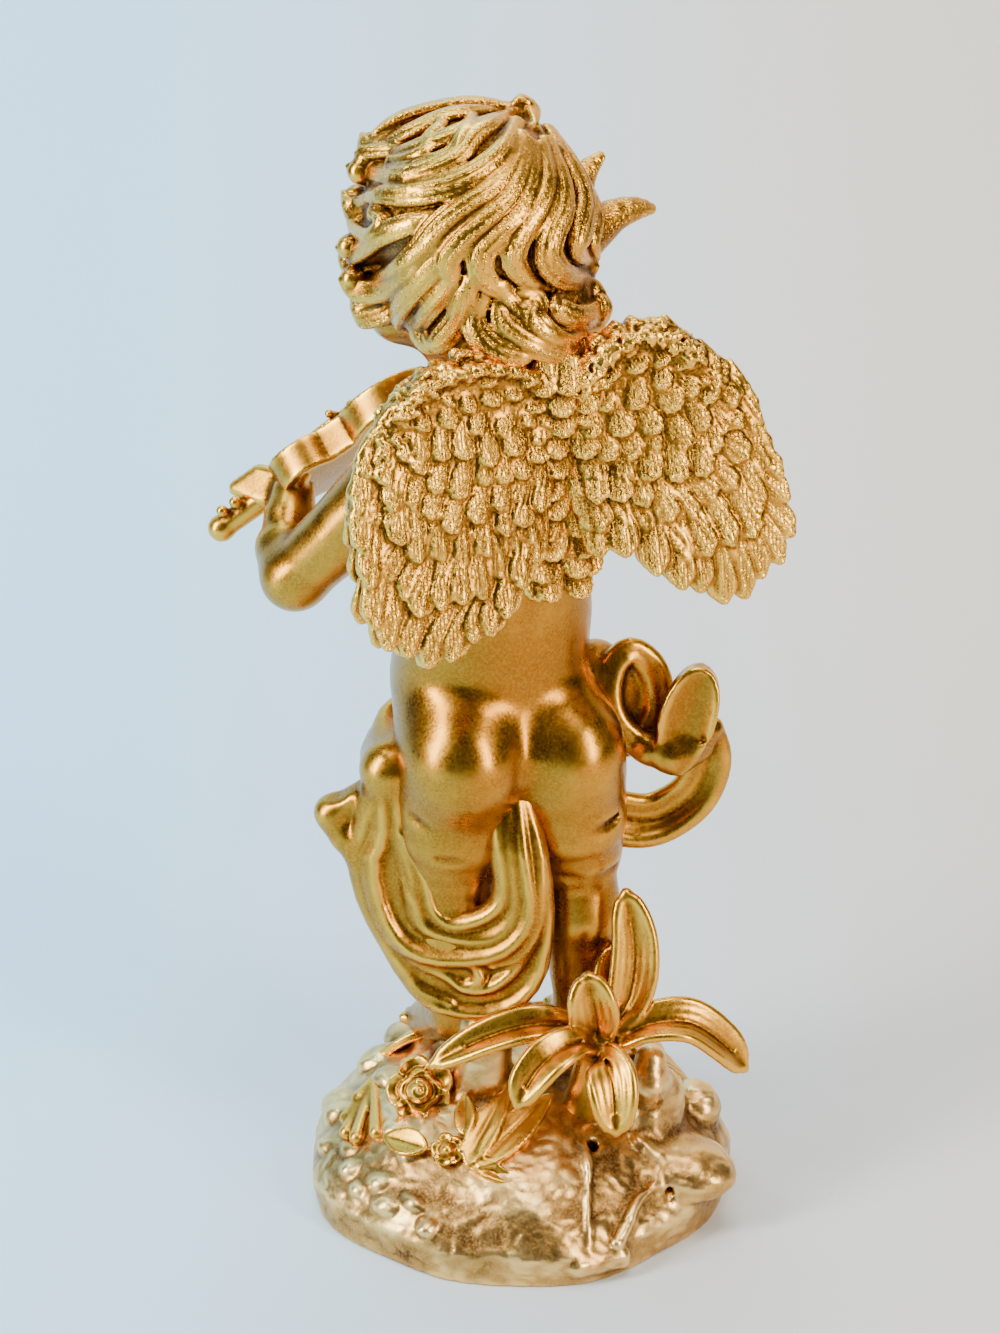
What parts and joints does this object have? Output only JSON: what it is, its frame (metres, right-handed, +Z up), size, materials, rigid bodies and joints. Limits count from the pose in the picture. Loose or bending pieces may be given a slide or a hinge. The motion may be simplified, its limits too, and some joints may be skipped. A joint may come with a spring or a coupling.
{
  "type": "cherub statue",
  "caption": "Gold-painted cast resin cherub playing a violin, standing on a domed rock with a lily, roses and leaves.",
  "frame": {"origin": "middle of the flat underside of the base", "axes": "+Z up through the figure; the chest faces -Y; +X is the figure's left, where the violin points"},
  "size_m": [0.1958, 0.1904, 0.4509],
  "materials": {
    "gold": "metallic gold paint over cast resin, burnished on the high places, darker brown in the hollows, paler on the rock"
  },
  "bodies": {
    "root": {"cherub_statue": "gold"}
  },
  "joints": []
}
